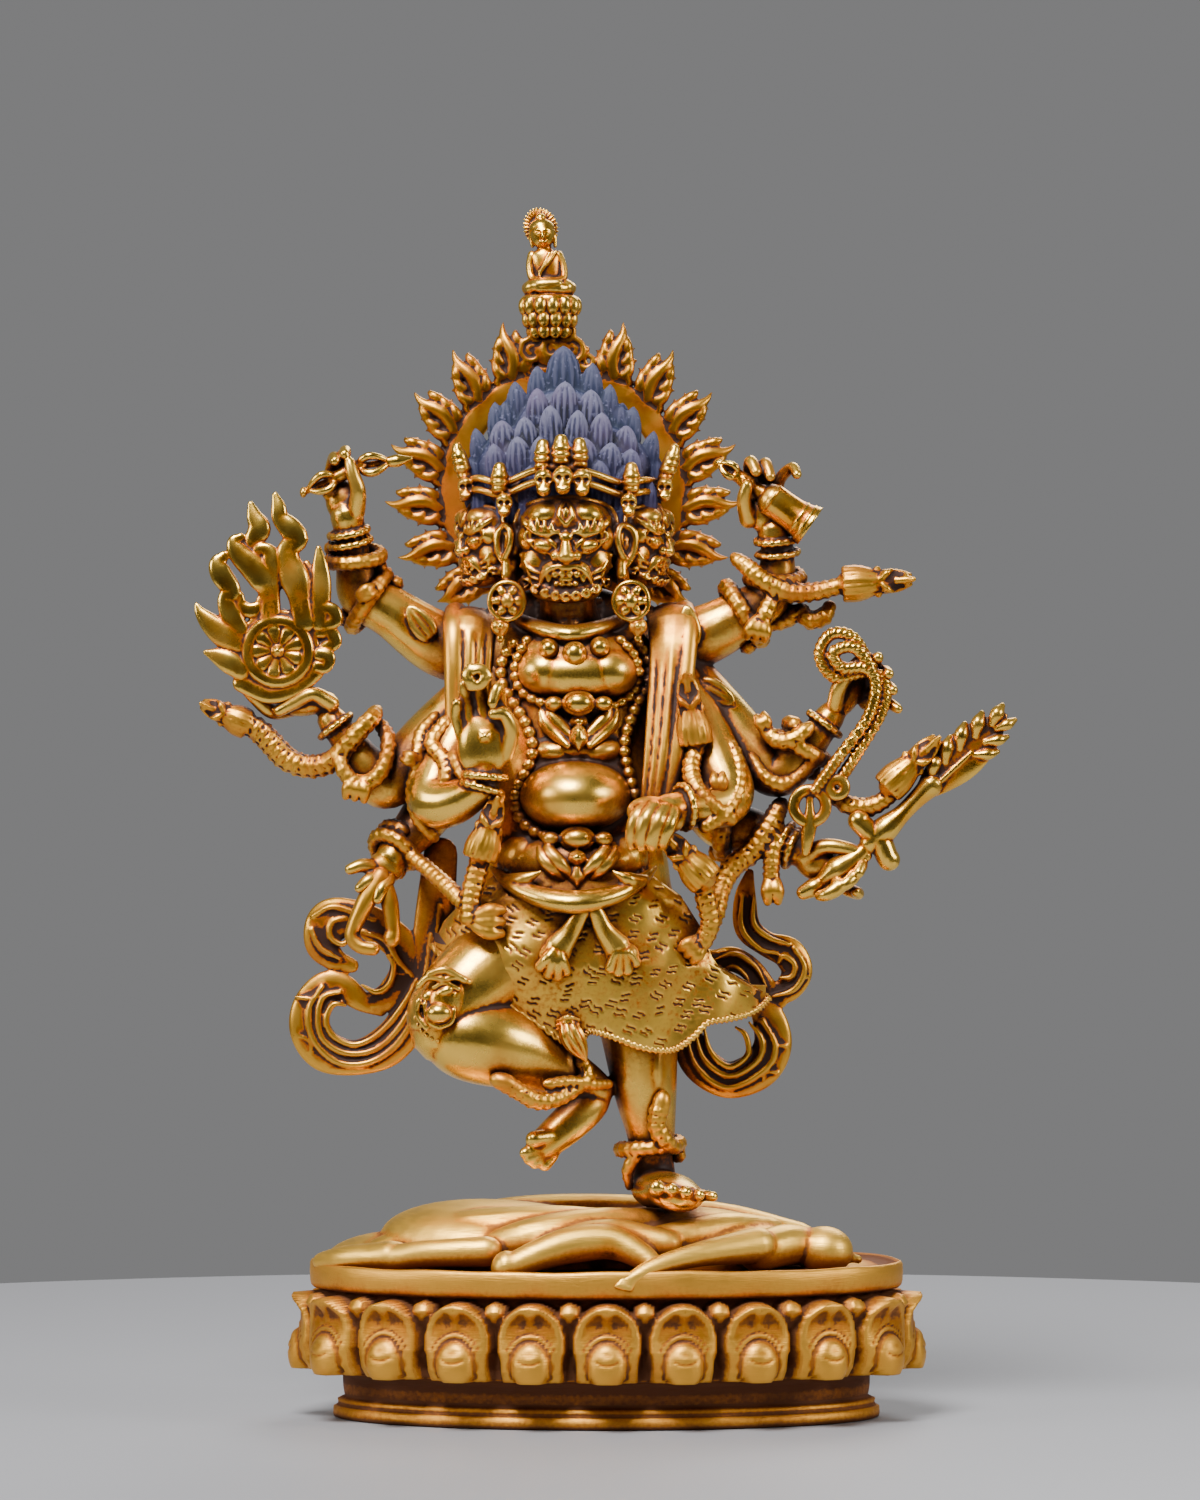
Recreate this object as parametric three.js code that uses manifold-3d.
// A gilt copper figure of an eight-armed, three-headed protector dancing on two fallen bodies.
// It stands by a peg in an oval lotus plinth. A ring of flames with a small seated figure on
// top rises behind its heads, and five attributes sit in its hands.
// Millimetres, +Z up, the figure faces -Y, and the origin is the centre of the plinth's underside.
import * as THREE from "three";
import { mergeVertices } from "three/addons/utils/BufferGeometryUtils.js";
import Module from "manifold-3d";

const wasm = await Module();
wasm.setup();

// Driving sizes of the plinth
const plinthLength = 160; // across the plain rim, the long way of the oval
const plinthDepth = 88; // across the plain rim, front to back
const footHeight = 5; // stepped foot at the bottom
const waistHeight = 8; // plain waist above the foot
const petalHeight = 22; // band of lotus petals
const rimHeight = 7.5; // plain rim above the petals
const waistInset = 9; // how far the waist stands in from the rim
const footInset = 6.5; // the same for the foot
const petalCount = 20;
const bodiesHeight = 14.5; // rise of the two fallen bodies above the rim

// Driving sizes of the figure and its fittings
const figureHeight = 232; // sole to the tip of the hair
const pegRadius = 3.6; // peg under the standing foot
const pegLength = 9;
const clearance = 0.3; // between every two pieces that meet
const haloRadius = 34.5; // outer edge of the plain ring behind the heads
const haloRingWidth = 8;
const haloThickness = 3.5;
const haloTangWidth = 12; // flat tang that holds the ring at the back
const haloTangLength = 12;
const flameLength = 16; // flames that stand out of the ring
const wheelRadius = 10; // wheel in the second right hand
const wheelThickness = 3.4;
const bellMouthRadius = 5.8;
const ropeRadius = 1.25; // rope of the noose

// The figure's pose and carving are drawn for this height, with this level under its sole.
// Everything in the standing group keeps those proportions when figureHeight changes.
const drawnHeight = 232;
const drawnSole = 57;
const share = figureHeight / drawnHeight;
const gap = clearance / share; // the clearance in the drawn figure's own millimetres
const rimTop = footHeight + waistHeight + petalHeight + rimHeight;
const treadHeight = rimTop + bodiesHeight; // top of the bodies under the foot

const radians = THREE.MathUtils.degToRad;

// Solids

// Closed geometry as a solid that can be joined and cut.
function solid(geometry) {
  const bare = geometry.index ? geometry.toNonIndexed() : geometry.clone();
  bare.deleteAttribute("normal");
  bare.deleteAttribute("uv");
  const merged = mergeVertices(bare, 1e-4);
  return new wasm.Manifold(
    new wasm.Mesh({
      numProp: 3,
      vertProperties: merged.attributes.position.array,
      triVerts: new Uint32Array(merged.index.array),
    }),
  );
}

const coarse = 0.2; // how far fusing may move the surface of a big casting

// Several solids as one; crumbs that no other piece touches are dropped.
function fused(solids, tolerance = 0.02) {
  const whole = wasm.Manifold.union(solids).simplify(tolerance);
  return whole.decompose().reduce((a, b) => (b.volume() > a.volume() ? b : a));
}

// A solid as a named mesh.
function mesh(name, made, material) {
  const { vertProperties, triVerts } = made.getMesh();
  const geometry = new THREE.BufferGeometry();
  geometry.setAttribute("position", new THREE.BufferAttribute(vertProperties, 3));
  geometry.setIndex(new THREE.BufferAttribute(triVerts, 1));
  geometry.computeVertexNormals();
  const piece = new THREE.Mesh(geometry, material);
  piece.name = name;
  return piece;
}

// A round rod bent along stations [x, y, z, radius]. "flat" thins it across the frame's second
// direction, which starts along "level".
function rod(stations, { sides = 4, flat = 1, level = [0, 1, 0] } = {}) {
  const spots = stations.map(([x, y, z]) => new THREE.Vector3(x, y, z));
  const line = new THREE.CatmullRomCurve3(spots, false, "centripetal");
  const last = stations.length - 1;
  let turned = new THREE.Vector3(...level);
  const rings = spots.map((at, i) => {
    const along = line.getTangent(i / last);
    const first = turned.clone().cross(along).normalize();
    const second = along.clone().cross(first).normalize();
    turned = second;
    return { at, first, second, radius: stations[i][3] };
  });
  // Its corners stand a little outside the true round, and its flats a little inside.
  const corner = 1 / Math.sqrt(Math.cos(Math.PI / sides));
  const geometry = new THREE.CylinderGeometry(corner, corner, 1, sides, last, false, Math.PI / sides);
  const places = geometry.attributes.position;
  for (let i = 0; i < places.count; i++) {
    const { at, first, second, radius } = rings[Math.round((0.5 - places.getY(i)) * last)];
    const place = at.clone();
    place.addScaledVector(first, places.getX(i) * radius);
    place.addScaledVector(second, places.getZ(i) * radius * flat);
    places.setXYZ(i, place.x, place.y, place.z);
  }
  return solid(geometry);
}

// A stack of level ovals [x, y, z, half width, half depth], from the top down.
function stack(levels, sides = 10) {
  const rings = levels.length - 1;
  const geometry = new THREE.CylinderGeometry(1, 1, 1, sides, rings);
  const places = geometry.attributes.position;
  for (let i = 0; i < places.count; i++) {
    const [x, y, z, halfWidth, halfDepth] = levels[Math.round((0.5 - places.getY(i)) * rings)];
    places.setXYZ(i, x + places.getX(i) * halfWidth, y - places.getZ(i) * halfDepth, z);
  }
  return solid(geometry);
}

// An egg: a sphere with three radii, turned by degrees about x, y and z.
function egg([x, y, z], [rx, ry, rz], turn = [0, 0, 0], [around, down] = [6, 3]) {
  const geometry = new THREE.SphereGeometry(1, around, down);
  geometry.rotateX(Math.PI / 2);
  geometry.scale(rx, ry, rz);
  turnBy(geometry, turn);
  geometry.translate(x, y, z);
  return solid(geometry);
}

function turnBy(geometry, [x, y, z]) {
  geometry.rotateX(radians(x));
  geometry.rotateY(radians(y));
  geometry.rotateZ(radians(z));
}

// A plate cut to an outline drawn in x and z, with its front face at "front".
function plate(outline, front, thickness) {
  const geometry = new THREE.ExtrudeGeometry(outline, { depth: thickness, bevelEnabled: false });
  geometry.rotateX(Math.PI / 2);
  geometry.translate(0, front + thickness, 0);
  return solid(geometry);
}

// An outline through points [x, z].
function outlineThrough(points) {
  return new THREE.Shape(points.map(([x, z]) => new THREE.Vector2(x, z)));
}

// Points round an oval in x and z, for an outline or a hole.
function roundPoints(x, z, halfWidth, halfHeight, count) {
  return Array.from({ length: count }, (_, i) => {
    const angle = (i / count) * 2 * Math.PI;
    return new THREE.Vector2(x + Math.cos(angle) * halfWidth, z + Math.sin(angle) * halfHeight);
  });
}

// A flat ring, or a disc where there is no hole.
function ringOutline(x, z, radius, hole, count) {
  const outline = new THREE.Shape(roundPoints(x, z, radius, radius, count));
  if (hole) outline.holes.push(new THREE.Path(roundPoints(x, z, hole, hole, count)));
  return outline;
}

// Plinth

const halfLength = plinthLength / 2;
const halfDepth = plinthDepth / 2;

// A moulding turned round the oval. "rows" are [offset from the rim, z] from the bottom up;
// an offset may also be a function of the column's number, and "shift" moves a column along.
function ovalTurn(rows, columns, shift = () => 0) {
  const reach = 100; // any radius that keeps the profile off the axis
  const points = [rows[0], ...rows, rows.at(-1)].map(([, z], i) => {
    const onAxis = i === 0 || i === rows.length + 1;
    return new THREE.Vector2(onAxis ? 0 : reach + i, z);
  });
  const geometry = new THREE.LatheGeometry(points, columns);
  geometry.rotateX(Math.PI / 2);
  const places = geometry.attributes.position;
  for (let i = 0; i < places.count; i++) {
    const x = places.getX(i);
    const y = places.getY(i);
    const radius = Math.hypot(x, y);
    if (radius < 1) continue;
    const [offset] = rows[Math.round(radius - reach) - 1];
    const column = Math.round(((Math.atan2(x, -y) / Math.PI + 2) * columns) / 2) % columns;
    // Equal steps of arc along the oval, so that the petals are of one width.
    const place = oval.getPointAt(((column + shift(column)) / columns + 0.75) % 1);
    const outward = new THREE.Vector2(place.x / halfLength ** 2, place.y / halfDepth ** 2).normalize();
    place.addScaledVector(outward, typeof offset === "function" ? offset(column) : offset);
    places.setXY(i, place.x, place.y);
  }
  return solid(geometry);
}

const oval = new THREE.EllipseCurve(0, 0, halfLength, halfDepth);

// Band of lotus petals, four columns to a petal: its middle, a shoulder, the valley and the
// next shoulder. The middle bulges into a boss below and a pointed arch above.
function petals() {
  const valley = -4;
  const rows = [
    // share of the height, how far out the shoulders stand, and the middle
    [0, 1, 1],
    [0.1, 4, 8],
    [0.34, 6, 10],
    [0.52, 6.5, 6.5],
    [0.8, 6.5, 9.5],
    [1, 0, 6.5],
  ];
  return ovalTurn(
    rows.map(([height, shoulder, middle]) => [
      (column) => valley + [middle, shoulder, 0, shoulder][column % 4],
      footHeight + waistHeight + petalHeight * height,
    ]),
    petalCount * 4,
    (column) => [0, 0.5, 0, -0.5][column % 4],
  );
}

// Two fallen bodies crossing under the foot. z is measured from the rim's top.
function fallenBodies() {
  const up = ([x, y, z, r]) => [x, y, rimTop + z * (bodiesHeight / 15), r];
  const limb = (stations) => rod(stations.map(up), { sides: 5 });
  const lump = ([x, y, z], radii, turn, fine) => egg([x, y, up([x, y, z, 1])[2]], radii, turn, fine);
  return [
    lump([-22, 2, 1], [40, 27, 14.6], [0, 8, 8], [9, 5]),
    lump([14, 0, 1], [38, 25, 13.6], [0, -3, -14], [9, 5]),
    lump([-54, 2, 0], [22, 18, 8], [0, 0, 0], [7, 4]),
    lump([58, -8, 3.5], [11, 9, 7.2], [0, 0, 0], [6, 4]),
    limb([[-73, -12, 0, 4], [-66, -17, 1.5, 4.6], [-56, -20, 3, 5]]),
    limb([[-57, -22, 1, 4], [-44, -27, 3.5, 3.6], [-31, -27, 4, 4]]),
    limb([[-26, -36, 0.5, 4], [-20, -34, 3.5, 4.2], [-8, -30, 7, 4.6], [6, -32, 3, 4]]),
    limb([[5, -42.5, -2, 2], [12, -40, 1.5, 2.8], [24, -34, 4, 3.6], [40, -26, 6, 5]]),
    limb([[40, -24, 4, 5.5], [50, -16, 5, 6], [56, -6, 3, 5]]),
    limb([[-40, 24, 2, 5], [-20, 30, 3, 4.5], [4, 32, 1, 4]]),
  ];
}

// The peg under the standing foot, in the drawn figure's place, and the hole that takes it.
const pegPlace = [15, -9];

function peg(scale, radius, top, bottom) {
  const [x, y] = pegPlace.map((value) => value * scale);
  const ends = [top, bottom].map((z) => [x, y, z, radius]);
  return rod(ends, { sides: 8 });
}

function plinth() {
  const low = footHeight + waistHeight;
  const columns = 28;
  const foot = ovalTurn(
    [
      [-footInset, 0],
      [-footInset, footHeight],
      [-waistInset, footHeight + 0.8],
      [-waistInset, low + 1],
    ],
    columns,
  );
  const rim = ovalTurn(
    [
      [-4, low + petalHeight - 1],
      [-0.5, low + petalHeight],
      [0, rimTop],
    ],
    columns,
  );
  const top = treadHeight + bodiesHeight;
  const socket = peg(share, pegRadius + clearance, top, treadHeight - pegLength - clearance);
  // The bodies are dressed level where the sole stands.
  const [seatWidth, seatDepth, seatAhead] = [26, 38, 3].map((size) => size * share);
  const [pegX, pegY] = pegPlace.map((size) => size * share);
  const seat = new THREE.BoxGeometry(seatWidth, seatDepth, bodiesHeight);
  seat.translate(pegX, pegY - seatAhead, treadHeight - clearance + bodiesHeight / 2);
  return fused([foot, petals(), rim, ...fallenBodies()], coarse)
    .subtract(socket)
    .subtract(solid(seat));
}

// Figure. Every coordinate below is in the drawn figure's millimetres.

function torso() {
  return [
    stack([
      [-11, 0, 214, 17, 8],
      [-11.5, 0, 209, 27, 13],
      [-12, 0, 199, 29, 15],
      [-10.5, -2, 180, 23, 16],
      [-9, -4, 166, 24, 19],
      [-9, -4, 153, 26, 19],
      [-8, -2, 136, 30, 18.5],
      [-4, 0, 116, 20, 13],
    ]),
    egg([-10, -10, 201], [17, 8, 9], [8, 0, 0], [8, 4]),
    egg([-9, -11.5, 167], [20, 16, 11], [0, 0, 0], [10, 5]),
    egg([-9, -8, 151], [24, 16.5, 9.5], [0, 0, 0], [9, 4]),
    rod(
      [
        [-10, -1, 206, 11],
        [-10.5, -4, 224, 8],
      ],
      { sides: 6 },
    ),
    // Crescent belt under the belly
    rod(
      [
        [-31, -12, 148, 1.4],
        [-22, -23, 141.5, 3.2],
        [-9, -27, 139, 3.8],
        [5, -23, 141.5, 3.2],
        [12, -12, 148, 1.4],
      ],
      { level: [0, 0, 1] },
    ),
    // Pendants on the chest and the belly
    egg([-8, -19.5, 188], [8, 2.6, 7]),
    egg([-7.5, -26.5, 154], [8.5, 3, 8]),
  ];
}

// Bent leg on the figure's right, standing leg on its left, with feet and toes.
function legs() {
  return [
    rod(
      [
        [-14, -3, 130, 14],
        [-29, -12, 122, 13.5],
        [-42, -18, 112, 11],
        [-45, -19, 106, 8],
      ],
      { sides: 7 },
    ),
    rod(
      [
        [-45, -19, 110, 8],
        [-40, -18, 105, 10.5],
        [-28, -15, 101, 10.5],
        [-16, -12, 96, 8],
        [-2, -8, 88, 4.4],
      ],
      { sides: 6 },
    ),
    // Mask on the knee
    egg([-46, -23, 114], [5, 6, 9], [0, 20, 0], [6, 4]),
    rod(
      [
        [-1.8, -7, 89, 4],
        [-7, -11, 83, 5.6],
        [-13, -13.5, 78, 5],
        [-22.5, -18, 71, 2.6],
      ],
      { sides: 5, flat: 0.8 },
    ),
    rod(
      [
        [3, -1, 128, 15],
        [8, -4, 112, 12],
        [9.5, -5, 98, 9.2],
        [11.5, -4, 82, 7.4],
        [12, -2, 69, 5.8],
        [13.5, -3, 61, 6],
      ],
      { sides: 7 },
    ),
    rod(
      [
        [11, 2, 62.8, 5.5],
        [14, -7, 62.8, 6.6],
        [18, -17, 62.4, 7.4],
        [21.5, -28, 61.4, 6.4],
      ],
      { sides: 6, flat: 0.55, level: [0, 0, 1] },
    ),
    // Sole and the peg under it
    stack(
      [
        [16, -10, drawnSole + 4, 8, 8],
        [...pegPlace, drawnSole, 4.6, 4.6],
      ],
      8,
    ),
    peg(1, pegRadius / share, drawnSole + 2, drawnSole - pegLength / share),
  ];
}

// Tiger skin skirt: its front outline, rounded like the hips, with the point that flies out.
function skirt() {
  const outline = outlineThrough([
    [-30, 147],
    [-41, 139],
    [-47, 127],
    [-41, 122],
    [-30, 114],
    [-18, 106],
    [-10, 101],
    [-6, 97.5],
    [-4.5, 104.5],
    [2, 103.5],
    [9, 100.5],
    [16, 99.5],
    [22, 102],
    [27, 107],
    [36, 109],
    [43, 113.5],
    [35, 118],
    [29, 122],
    [27, 130],
    [20, 141],
    [12, 147],
  ]);
  const rounding = stack(
    [
      [-9, -4, 148, 22, 17],
      [-8, -5, 140, 33, 19.5],
      [-6, -6, 122, 44, 19.5],
      [-1, -7, 96, 48, 15],
    ],
    12,
  );
  const paws = [
    [-7, -14.5],
    [-4, 4.5],
  ].map(([top, low]) =>
    rod([
      [top, -24.5, 136, 1.8],
      [(top + low) / 2, -27, 130, 2.6],
      [low, -27.5, 121, 3.8],
    ]),
  );
  return [plate(outline, -30, 50).intersect(rounding), ...paws];
}

// One head, looking along "facing" degrees from the front, with its features unless "plain".
function head([x, y, z], size, facing, plain) {
  const turn = [0, 0, facing];
  const aim = radians(facing);
  const lump = (side, forward, up, radii, fine = [4, 3]) =>
    egg(
      [
        x + (side * Math.cos(aim) + forward * Math.sin(aim)) * size,
        y + (side * Math.sin(aim) - forward * Math.cos(aim)) * size,
        z + up * size,
      ],
      radii.map((radius) => radius * size),
      turn,
      fine,
    );
  const skull = [
    lump(0, 0, 2, [13.8, 14.2, 13.4], plain ? [6, 4] : [8, 5]),
    lump(0, 4.4, -5.5, [12.4, 11.4, 9], plain ? [5, 3] : [6, 4]),
    lump(0, 13.5, -1.5, [3, 3, 4]),
  ];
  if (plain) return skull;
  return [
    ...skull,
    lump(-6, 12.5, 5, [5.4, 2.4, 2.2]), // brows
    lump(6, 12.5, 5, [5.4, 2.4, 2.2]),
    lump(0, 12.8, -8, [6.5, 2.6, 2.8]), // mouth
    lump(-15, 0, 0, [2.4, 2.4, 5.6]), // ears
    lump(15, 0, 0, [2.4, 2.4, 5.6]),
  ];
}

function heads() {
  // Jewelled band round the three brows: three finials in front and two on each side
  const finials = [
    [-17.5, -21, 250],
    [-12, -23, 252],
    [-7, -21, 250],
    [-29, -18, 247],
    [6, -18, 247],
    [-39, -6, 252],
    [16, -6, 252],
  ];
  return [
    ...head([-11, -8, 236], 1, 0, false),
    ...head([-31, 2, 237], 0.82, -68, true),
    ...head([9.5, 2, 237], 0.82, 68, true),
    // Round earrings under the front ears
    egg([-27, -13, 218.5], [5, 2.4, 6.4], [0, 18, 0], [5, 3]),
    egg([5.5, -13, 218.5], [5, 2.4, 6.4], [0, -18, 0], [5, 3]),
    stack([
      [-11.5, -4, 255.5, 28.5, 18.5],
      [-11.5, -4, 249, 27, 17.5],
      [-11.5, -4, 244, 19, 13.5],
    ]),
    ...finials.map(([x, y, z]) =>
      rod([
        [x, y, z - 2, 3],
        [x, y, z + 10.5, 1.2],
      ]),
    ),
  ];
}

// Flame hair: a dome and rows of upright tongues.
function hair() {
  const [cx, cy] = [-12, -2];
  const dome = stack(
    [
      [cx, cy, 283, 4, 4],
      [cx, cy, 275, 14, 9.5],
      [cx, cy, 264, 22, 14],
      [cx, cy, 250, 24, 15],
    ],
    8,
  );
  const rows = [
    { count: 9, reachX: 22, reachY: 14, foot: 253, tip: 267 },
    { count: 7, reachX: 16, reachY: 10, foot: 260, tip: 276 },
    { count: 4, reachX: 8, reachY: 5.5, foot: 268, tip: 284.5 },
    { count: 1, reachX: 0, reachY: 0, foot: 276, tip: drawnSole + drawnHeight - 1 },
  ];
  const locks = rows.flatMap(({ count, reachX, reachY, foot, tip }, row) =>
    Array.from({ length: count }, (_, i) => {
      const angle = ((i + row / 2) / count) * 2 * Math.PI;
      const x = cx + Math.cos(angle) * reachX;
      const y = cy + Math.sin(angle) * reachY;
      return rod([
        [x, y, foot, 4.6],
        [x + Math.cos(angle) * 1.5, y, tip, 0.7],
      ]);
    }),
  );
  return [dome, ...locks];
}

// Eight arms: their stations from the shoulder to the wrist.
const arms = {
  upperRight: [
    [-32, 4, 204, 8.5],
    [-46, 3, 209, 8.3],
    [-60, 1, 218, 7.2],
    [-67.5, -1, 225, 8.2],
    [-69, -4, 235, 6],
    [-70, -6, 246, 4.2],
  ],
  wheelRight: [
    [-34, 2, 194, 8],
    [-46, -1, 186, 7.6],
    [-57, -5, 172, 8.6],
    [-66, -8, 178, 7],
    [-75, -8, 190, 3.8],
  ],
  frontRight: [
    [-34, -1, 198, 8],
    [-42, -8, 180, 8],
    [-45, -15, 168, 7.4],
    [-39, -21, 167, 6.2],
    [-32.5, -26, 177, 4.6],
  ],
  lowRight: [
    [-32, 4, 184, 8],
    [-44, 3, 170, 7.4],
    [-54, -1, 157, 6],
    [-59, -6, 149, 4.6],
  ],
  upperLeft: [
    [10, 4, 206, 8.5],
    [26, 3, 211, 8],
    [38, 2, 217, 7],
    [45.5, -1, 225, 8.2],
    [45.5, -4, 235, 6],
    [43, -6, 246, 4.2],
  ],
  nooseLeft: [
    [16, 2, 200, 8],
    [30, 0, 189, 7.6],
    [44, -5, 175, 8],
    [54, -7, 181, 7.4],
    [61, -8, 189, 4],
  ],
  frontLeft: [
    [16, -1, 196, 8],
    [27, -8, 180, 8],
    [32, -15, 168, 7.4],
    [26, -21, 165, 6.2],
    [18, -25, 165, 4.6],
  ],
  bladeLeft: [
    [14, 3, 182, 8],
    [25, 2, 167, 7.2],
    [33, -1, 159, 6.8],
    [55, -7.5, 151.5, 4.4],
  ],
};

// A palm and its fingers; each finger is a list of [x, y, z] joints.
function hand(palm, radii, turn, radius, fingers) {
  const taper = 0.14; // how much thinner each joint is
  return [
    egg(palm, radii, turn),
    ...fingers.map((joints) => rod(joints.map((joint, i) => [...joint, radius * (1 - taper * i)]))),
  ];
}

function hands() {
  return [
    // Fist round the thunderbolt
    ...hand([-70.5, -7, 247], [5.4, 5, 9], [0, 10, 0], 2.6, [
      [[-74, -8, 247], [-75, -13, 252], [-72.5, -12, 259]],
      [[-68, -8, 247], [-67.5, -13, 252], [-67.5, -11, 259]],
    ]),
    // Open hand under the wheel
    ...hand([-80, -8, 192], [7.5, 4.5, 3], [0, 15, 0], 2.2, [
      [[-83, -5, 191], [-90, -5, 191.5], [-96.5, -5, 195]],
      [[-83, -11, 191], [-90, -11.5, 190.5], [-95, -12.5, 194]],
      [[-77, -12, 193], [-79.5, -17, 197], [-83, -17.5, 202]],
    ]),
    // Raised hand at the breast
    ...hand([-32.5, -27, 181], [6.6, 3.4, 9.5], [0, 0, 0], 2, [
      [[-37, -28, 184], [-37, -30, 198]],
      [[-33.5, -28, 185], [-33, -30, 200]],
      [[-30.5, -28, 184], [-29.5, -30, 199]],
      [[-27, -29, 180], [-25.5, -32, 186], [-28.5, -33, 190.5]],
    ]),
    // Low hand with the two hanging limbs it holds
    egg([-60.5, -8, 147], [6, 4.4, 5.8], [0, 20, 0]),
    rod([[-62, -8, 145, 2.8], [-68.5, -9, 131.5, 2.1], [-66, -10, 127, 1.8], [-61.5, -11, 126.5, 1.5]]),
    rod([[-60, -8, 144, 2.8], [-56.5, -10, 128, 2]]),
    // Fist round the bell's handle
    ...hand([42, -7, 246], [4.8, 5, 8.5], [0, -12, 0], 2.6, [
      [[39, -7, 246], [36.5, -11, 250.5], [38, -11, 256]],
      [[44.5, -7, 248], [45, -12, 252.5], [45.5, -11.5, 258]],
    ]),
    // Hand over the rope
    ...hand([65.5, -8, 195], [3.8, 3.4, 9], [0, 32, 0], 2.4, [
      [[68, -8, 201], [73.5, -10, 200.5], [76.5, -12, 195]],
      [[68, -9, 201.5], [72, -11, 204.5], [74.5, -11.5, 206.5]],
    ]),
    // Fist on the belly
    ...hand([12.5, -27.5, 162.5], [8.5, 4.2, 4.6], [0, -12, 0], 2, [
      [[6.5, -30, 163], [6, -30.5, 154.5]],
      [[9.7, -31, 163], [9.2, -31.5, 154]],
      [[12.9, -31, 163], [12.4, -31.5, 154]],
      [[16, -30.5, 163], [15.6, -31, 154.5]],
    ]),
    // Fist round the bone hilt
    ...hand([58, -8, 150], [8, 4.4, 4.4], [0, 8, 0], 2.6, [
      [[58, -10, 153], [64, -11, 154.5], [70, -11, 152.5]],
      [[60, -10, 149], [66, -14.5, 148], [64.5, -14.5, 142]],
    ]),
  ];
}

// A snake's coil, a bracelet or an anklet: a thick cuff round a limb.
function cuff(from, to, radius) {
  const ends = [from, to].map((place) => [...place, radius]);
  return rod(ends, { sides: 6 });
}

// Snakes wound round the arms and ankles, and the lion-headed sash ends at the hips.
function snakes() {
  return [
    // Wheel arm: a loop that hangs under the wrist and ends in a head at the far left
    rod([[-66, -12, 186, 2.6], [-73, -13, 178, 2.8], [-82, -12, 176.5, 2.8], [-96, -10, 189.5, 2.6]]),
    rod([[-93, -9, 188.5, 3.4], [-102, -9, 192, 4], [-108.5, -9, 192.5, 1.8]]),
    rod([[-69, -12, 180, 2.6], [-67, -11, 168.5, 3.6]]),
    // Front right arm
    rod([[-52, -14, 182, 2.4], [-46, -24, 169, 2.4], [-53, -13, 162, 2.4]]),
    // Sash end at the right hip
    rod(
      [
        [-29.5, -26, 168, 2.6],
        [-32, -26, 158, 4.6],
        [-33.5, -25, 150, 3.2],
        [-36, -26, 138, 2.8],
        [-27, -26, 132, 2.6],
      ],
      { sides: 5 },
    ),
    rod([[-57, -8, 152, 2.4], [-45, -18, 144, 2.4], [-37, -23, 139, 2.4]]),
    // Upper left arm: the long neck that reaches out from the elbow
    rod([[36, -4, 230, 2.6], [42, -9, 226, 2.8], [50, -9, 223, 2.8], [63, -8, 224.5, 3]]),
    rod([[60, -8, 225, 3.4], [65, -8, 225, 4.8], [77, -8, 225.5, 4], [82.5, -8, 225, 1.8]], { sides: 5 }),
    rod([[32, -3, 222, 2.6], [40, -9, 218, 2.6], [41.5, -9, 210.5, 4]]),
    // Noose arm
    rod([[41, -11, 190, 3.4], [43.5, -12, 183, 3.4], [56, -12, 179, 2]]),
    // Front left arm
    rod([[22, -18, 200, 2.4], [23, -20, 192, 4.4], [24, -20, 180, 4]]),
    rod([[15, -25, 156, 2.6], [22, -24, 147, 4.4], [27, -19, 136, 2.8], [22, -22, 125, 2.4]], { sides: 5 }),
    // Blade arm: a thick body that swings down to the hip
    rod([[46, -8, 163, 2.8], [41, -11, 155, 2.8], [31, -13, 147, 2.8], [27, -17, 135, 2.8]]),
    rod([[44, -8, 157, 2.8], [44, -11, 142, 4]]),
    // Neck that climbs the back of the bone blade
    rod([[56, -7, 164, 2.4], [69, -8, 164, 2.6], [78, -8.5, 172.5, 4.6], [88, -8.5, 181.5, 2]], { sides: 5 }),
    // Ankles
    cuff([12, -2.5, 71], [11.4, -2.9, 75.5], 9),
    rod([[15, -9, 74, 2.6], [15, -10, 87, 2.4]]),
    cuff([-5, -9, 90], [-8.5, -10, 92], 7.4),
    rod([[-29, -23, 93, 2.6], [-17, -21, 88, 2.8], [-6, -14, 95, 2.6]]),
  ];
}

// Pleated bands over the shoulders and the scarf's curled ends beside the legs.
function scarf() {
  const band = (flat, ...stations) => rod(stations, { flat });
  return [
    band(0.55, [-37, 6, 216, 7], [-37.5, -9, 211, 7], [-38, -12, 185, 6]),
    band(0.55, [16, 6, 217, 7], [17, -9.5, 211, 7], [15, -17, 178, 5.5], [13, -16, 160, 4]),
    // Right side, in two curls
    band(
      0.7,
      [-47, 2, 152, 6],
      [-49, 2, 112, 7],
      [-58, 2, 99, 7],
      [-70, 2, 96.5, 7],
      [-80, 2, 103, 7],
      [-77, 1, 115.5, 5.5],
      [-65, 0, 114, 4.5],
    ),
    band(0.9, [-48, 2, 112, 5.5], [-57, 2, 117, 5.5], [-77, 2, 119, 4]),
    band(0.8, [-53, 2, 118, 6.5], [-57, 2, 130, 6], [-74, 0, 136, 6.5], [-76, 0, 126, 5]),
    // Left side, in two curls and a tail
    band(
      0.7,
      [19, 2, 118, 6],
      [22, 2, 100, 6],
      [33, 2, 91, 6.4],
      [45, 2, 97, 6.4],
      [42, 2, 111, 5],
    ),
    band(
      0.8,
      [22, 2, 124, 5],
      [37, 2, 122.5, 4.6],
      [44, 2, 112.5, 5],
      [52, 2, 117, 5.4],
      [46, 1, 127, 4.4],
      [38, 1, 133, 4.2],
      [37, 1, 146, 1.6],
    ),
  ];
}

// Boss on the back that holds the halo's tang.
const haloCentre = [-12, 251];
const haloFront = 19; // the ring's front face, behind the heads
const ringFoot = haloCentre[1] - haloRadius; // lowest point of the ring

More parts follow.
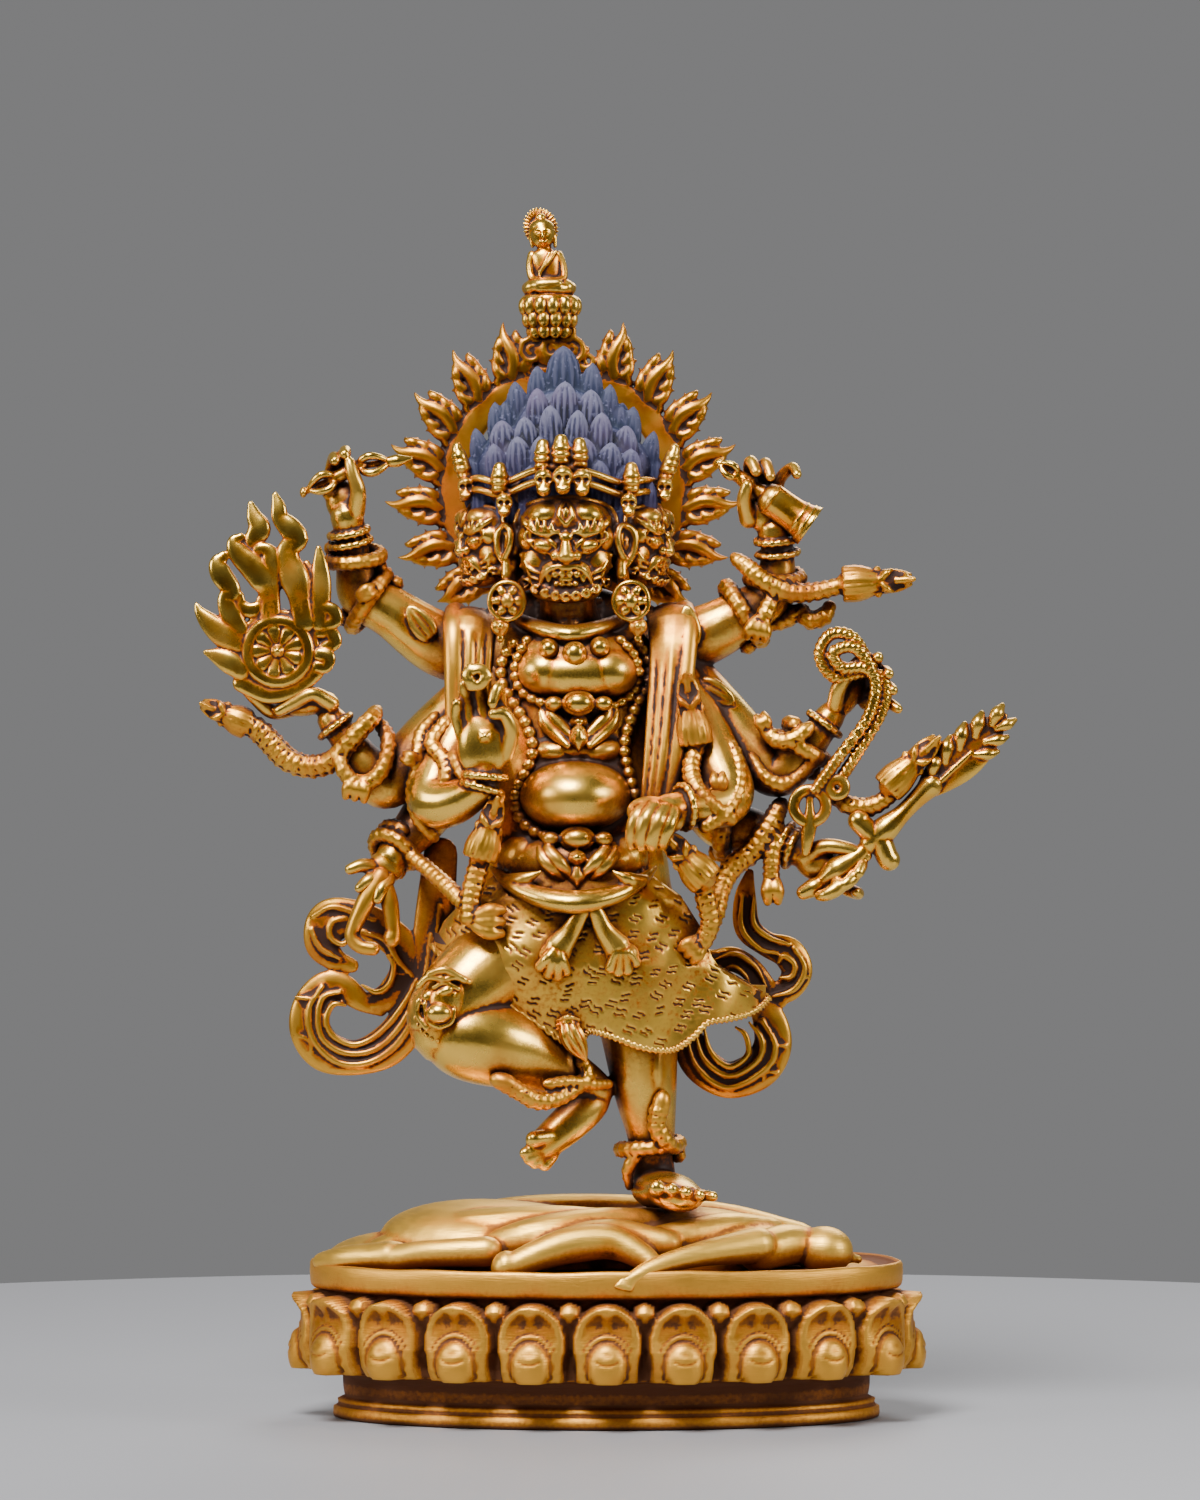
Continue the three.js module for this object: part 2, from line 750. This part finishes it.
function backBoss() {
  const wall = 2.5; // beside and behind the tang
  const floor = 5; // under the tang
  const inside = 6; // depth at which the boss starts, within the back
  const back = haloFront + haloThickness + wall;
  const top = ringFoot - gap;
  const height = haloTangLength + floor;
  const boss = new THREE.BoxGeometry(haloTangWidth + wall * 2, back - inside, height);
  boss.translate(haloCentre[0], (inside + back) / 2, top - height / 2);
  return solid(boss);
}

// Halo

// Tang that runs down from the ring's lowest stretch.
function tang(room = 0) {
  const top = ringFoot + haloRingWidth * 0.9;
  const bottom = ringFoot - haloTangLength;
  const bar = new THREE.BoxGeometry(
    haloTangWidth + room * 2,
    haloThickness + room * 2,
    top - bottom + room * 2,
  );
  bar.translate(haloCentre[0], haloFront + haloThickness / 2, (top + bottom) / 2);
  return solid(bar);
}

// Outline of the ring with its flames: each flame is a tall tip between two shorter ones, and
// all of them sweep up on both sides of the ring.
function flameOutline() {
  const [cx, cz] = haloCentre;
  const perSide = 7;
  const halfWidth = 4.8;
  const outline = new THREE.Shape();
  const steps = (from, to, count) =>
    Array.from({ length: count + 1 }, (_, i) => radians(from + ((to - from) * i) / count));
  // Plain lower edge behind the shoulders, from the figure's right to its left
  steps(232, 308, 8).forEach((way, i) => {
    const draw = i ? "lineTo" : "moveTo";
    outline[draw](cx + Math.cos(way) * haloRadius, cz + Math.sin(way) * haloRadius);
  });
  for (let i = 0; i < perSide * 2; i++) {
    const fromTop = i < perSide ? perSide - 1 - i : i - perSide;
    const angle = 66 - fromTop * 18.5;
    const side = i < perSide ? 1 : -1;
    const way = radians(side > 0 ? angle : 180 - angle);
    const length = flameLength * (fromTop === perSide - 1 ? 0.8 : 1);
    const place = (out, aside) => {
      const reach = haloRadius - 1 + out * length;
      return [
        cx + Math.cos(way) * reach - Math.sin(way) * aside,
        cz + Math.sin(way) * reach + Math.cos(way) * aside,
      ];
    };
    // Drawn for the figure's left side and walked backwards on its right
    const walk = [
      [0, -halfWidth],
      [0.35, -5.2],
      [0.7, -3.2],
      [0.36, -1.4],
      [0.7, -0.8],
      [1.06, 2.6],
      [0.4, 2.4],
      [0.76, 6.4],
      [0.3, 5.8],
      [0, halfWidth],
    ];
    if (side < 0) walk.reverse();
    walk.forEach(([out, aside]) => outline.lineTo(...place(out, aside * side)));
  }
  const inner = haloRadius - haloRingWidth;
  outline.holes.push(new THREE.Path(roundPoints(cx, cz, inner, inner, 28)));
  return outline;
}

function halo() {
  const [cx, cz] = haloCentre;
  const middle = haloFront + haloThickness / 2;
  const top = cz + haloRadius;
  // Scrolled root, lotus seat and the small seated figure
  const finial = [
    egg([cx - 3, middle, top + 4], [9, 4, 6.5], [0, 0, 0], [7, 4]),
    stack(
      [
        [cx - 3.8, middle - 2, top + 18, 8, 6],
        [cx - 3.5, middle - 2, top + 14.5, 8.8, 6.5],
        [cx - 3.2, middle - 1, top + 8, 4.5, 4],
      ],
      8,
    ),
    egg([cx - 4.2, middle - 3, top + 20], [6.2, 5, 2.8]),
    stack(
      [
        [cx - 5.6, middle - 1, top + 33, 1.8, 1.8],
        [cx - 5.3, middle - 1, top + 31, 4.2, 2.8],
        [cx - 4.6, middle - 1, top + 25, 3.4, 2.8],
        [cx - 4.4, middle - 1, top + 18, 5, 3.2],
      ],
      6,
    ),
    egg([cx - 5.4, middle - 2, top + 36], [3.2, 3.1, 4.6], [0, 0, 0], [6, 4]),
    egg([cx - 6, middle + 0.6, top + 36.6], [4.9, 1.1, 5.2], [0, 0, 0], [8, 4]),
  ];
  return fused([plate(flameOutline(), haloFront, haloThickness), ...finial, tang()], coarse);
}

// Attributes. With "room", a function gives the cut that the piece makes in the hand instead:
// its held part, swollen evenly.

// Wheel and the plate of fire it stands in, on the open hand.
function fireWheel(room = 0) {
  const [cx, cz] = [-88.5, 206.5];
  const front = -14 - room;
  const deep = wheelThickness + room * 2;
  const lowEdge = [
    [-80, 199 - room],
    [-84 + room, 193.5 - room],
    [-94 - room, 193.5 - room],
    [-101, 199 - room],
  ];
  if (room) return plate(outlineThrough([...lowEdge, [cx, cz]]), front, deep);
  const flames = outlineThrough([
    ...lowEdge,
    [-106, 206],
    [-111, 219],
    [-104.5, 215.5],
    [-103, 232],
    [-99.5, 224],
    [-95.5, 246],
    [-92, 231],
    [-88.5, 248],
    [-84, 228],
    [-77.5, 235],
    [-79, 220],
    [-71, 221],
    [-75.5, 210],
  ]);
  for (const [x, z] of [
    [-97, 221.5],
    [-86, 221],
  ]) {
    flames.holes.push(new THREE.Path(roundPoints(x, z, 1.8, 3.2, 6)));
  }
  const rim = ringOutline(cx, cz, wheelRadius, wheelRadius * 0.72, 14);
  const hub = egg([cx, front, cz], [2.6, 1.4, 2.6]);
  return fused([plate(flames, front, deep), plate(rim, front - 0.9, 2), hub]);
}

// Thunderbolt: two caged heads on a short grip.
function vajra(room = 0) {
  const grow = ([x, z, r]) => [x, -10, z, r + room];
  return rod(
    [
      [-82, 249, 0.9],
      [-79, 250.2, 2.4],
      [-76.5, 251.4, 3.6],
      [-74, 252.6, 2],
      [-71, 254.2, 1.9],
      [-68, 255.8, 2],
      [-64.5, 256.6, 3.8],
      [-61, 257.2, 3.4],
      [-57.5, 257.8, 2],
      [-53, 258.4, 0.9],
    ].map(grow),
    { sides: 7 },
  );
}

// Hand bell: half a thunderbolt as its handle, and a flared cup that is open below.
const bellTip = [29, -9, 258];
const bellAxis = new THREE.Vector3(0.82, 0, -0.572);

function bell(room = 0) {
  const along = (distance, radius) => [
    bellTip[0] + bellAxis.x * distance,
    bellTip[1],
    bellTip[2] + bellAxis.z * distance,
    radius + room,
  ];
  const cupStart = 16;
  const cupLength = 15;
  if (room) {
    const around = [
      along(0, 2.8),
      along(cupStart, 3.8),
      along(cupStart + 4, 5.2),
      along(cupStart + cupLength, bellMouthRadius + 0.9),
    ];
    return rod(around, { sides: 8 });
  }
  const handle = rod(
    [
      [0, 0.9],
      [3, 2.4],
      [6, 2.4],
      [9, 1.8],
      [cupStart + 1, 2],
    ].map(([distance, radius]) => along(distance, radius)),
    { sides: 6 },
  );
  const wall = 1;
  const profile = [
    [0, 0],
    [3.2, 0.4],
    [bellMouthRadius * 0.76, 3],
    [bellMouthRadius * 0.8, 10],
    [bellMouthRadius, cupLength],
    [bellMouthRadius - wall, cupLength],
    [bellMouthRadius * 0.76 - wall, 10],
    [0, 2.6],
  ].map(([radius, depth]) => new THREE.Vector2(radius, -depth));
  const cup = new THREE.LatheGeometry(profile.reverse(), 10);
  cup.applyQuaternion(new THREE.Quaternion().setFromUnitVectors(new THREE.Vector3(0, -1, 0), bellAxis));
  const [x, y, z] = along(cupStart, 0);
  cup.translate(x, y, z);
  return fused([handle, solid(cup)]);
}

// Noose: a looped rope over the hand, two strands down to an eyed ring and a small ring.
function noose(room = 0) {
  // In the hand's cut each end is longer too.
  const past = ([x, z], [nextX, nextZ]) => {
    const push = room / Math.hypot(x - nextX, z - nextZ);
    return [x + (x - nextX) * push, z + (z - nextZ) * push];
  };
  const rope = (y, points) => {
    const longer = [past(...points), ...points.slice(1, -1), past(points.at(-1), points.at(-2))];
    return rod(longer.map(([x, z]) => [x, y, z, ropeRadius + room]));
  };
  const ring = (x, z, radius, eyes) => {
    const outline = ringOutline(x, z, radius + room, 0, 9);
    for (const aside of eyes) {
      outline.holes.push(new THREE.Path(roundPoints(x + aside, z, 1.3, 2.6, 6)));
    }
    return plate(outline, -15.4 - room, 2.6 + room * 2);
  };
  return fused([
    rope(-13.4, [
      [71, 202],
      [66, 210],
      [60, 211],
      [57, 205.5],
      [61, 199.5],
      [70, 201],
      [74.5, 198],
      [73.5, 190],
      [67, 179],
      [62, 171],
    ]),
    rope(-14.6, [
      [71, 202],
      [66, 207.5],
      [60.5, 206],
      [63, 202],
      [69, 202],
      [72, 198],
      [70, 189],
      [62, 178],
      [55, 169],
    ]),
    ring(54.5, 165, 5.8, room ? [] : [-2, 2]),
    ring(62, 170, 3, []),
    rod(
      [
        [54.5, -14, 161, 2 + room],
        [53.5, -14, 154 - room, 1.8 + room],
      ],
      { sides: 6 },
    ),
  ]);
}

// Blade with a long bone as its hilt, its leaf toothed like a flame.
function boneBlade(room = 0) {
  const y = -12;
  const grow = ([x, z, r]) => [x, y, z, r + room];
  const knuckles = [
    egg([68.5, y, 160], [3.4 + room, 3 + room, 3 + room]),
    egg([75.5, y, 151.5], [3.4 + room, 3 + room, 3 + room]),
  ];
  if (room) {
    const held = [
      [54, 142, 2.8],
      [68, 152, 2.8],
      [74, 158, 3.6],
      [82, 166, 2.8],
    ];
    return fused([rod(held.map(grow), { sides: 6 }), ...knuckles]);
  }
  const hilt = rod(
    [
      [52.5, 141.5, 1.6],
      [58, 144.5, 2.8],
      [68, 152, 2.6],
      [74, 158, 3.6],
      [82, 166, 2.6],
      [88, 171.5, 3.8],
    ].map(grow),
    { sides: 6 },
  );
  const [foot, tip] = [new THREE.Vector2(85, 168.5), new THREE.Vector2(107, 189.5)];
  const teeth = 5;
  const edge = (side) =>
    Array.from({ length: teeth * 2 }, (_, i) => {
      const along = 0.12 + (0.78 * i) / (teeth * 2 - 1) + (i % 2 ? 0.06 : 0);
      const width = 6.2 * Math.sin(Math.PI * (0.2 + along * 0.62)) * (i % 2 ? 1 : 0.68);
      const place = foot.clone().lerp(tip, along);
      const aside = new THREE.Vector2(foot.y - tip.y, tip.x - foot.x).setLength(width * side);
      return place.add(aside);
    });
  const thickness = 2.4;
  const outline = new THREE.Shape([foot, ...edge(-1), tip, ...edge(1).reverse()]);
  return fused([hilt, ...knuckles, plate(outline, y - thickness / 2, thickness)]);
}

function figure() {
  const castings = [
    ...torso(),
    ...legs(),
    ...skirt(),
    ...heads(),
    ...hair(),
    ...Object.values(arms).map((stations) => rod(stations, { sides: 6 })),
    ...hands(),
    ...snakes(),
    ...scarf(),
    backBoss(),
  ];
  const grip = gap * 1.4; // flats and bends of a swollen rod stand closer than its corners
  const seats = [tang(gap), fireWheel(gap), vajra(grip), bell(grip), noose(grip), boneBlade(grip)];
  return fused([seats.reduce((left, seat) => left.subtract(seat), fused(castings, coarse))]);
}

// Assembly

const gilt = new THREE.MeshStandardMaterial({ color: 0xd9a441, roughness: 0.32, metalness: 1 });
const brightGilt = new THREE.MeshStandardMaterial({ color: 0xe6b95a, roughness: 0.26, metalness: 1 });
const satinGilt = new THREE.MeshStandardMaterial({ color: 0xcf9a3c, roughness: 0.42, metalness: 1 });

const statue = new THREE.Group();
const standing = new THREE.Group();
standing.scale.setScalar(share);
standing.position.z = treadHeight - drawnSole * share;
standing.add(
  mesh("dancing_figure", figure(), gilt),
  mesh("flame_halo", halo(), gilt),
  mesh("fire_wheel", fireWheel(), brightGilt),
  mesh("thunderbolt", vajra(), brightGilt),
  mesh("hand_bell", bell(), brightGilt),
  mesh("rope_noose", noose(), brightGilt),
  mesh("bone_blade", boneBlade(), brightGilt),
);
statue.add(mesh("lotus_plinth", plinth(), satinGilt), standing);

export default statue;
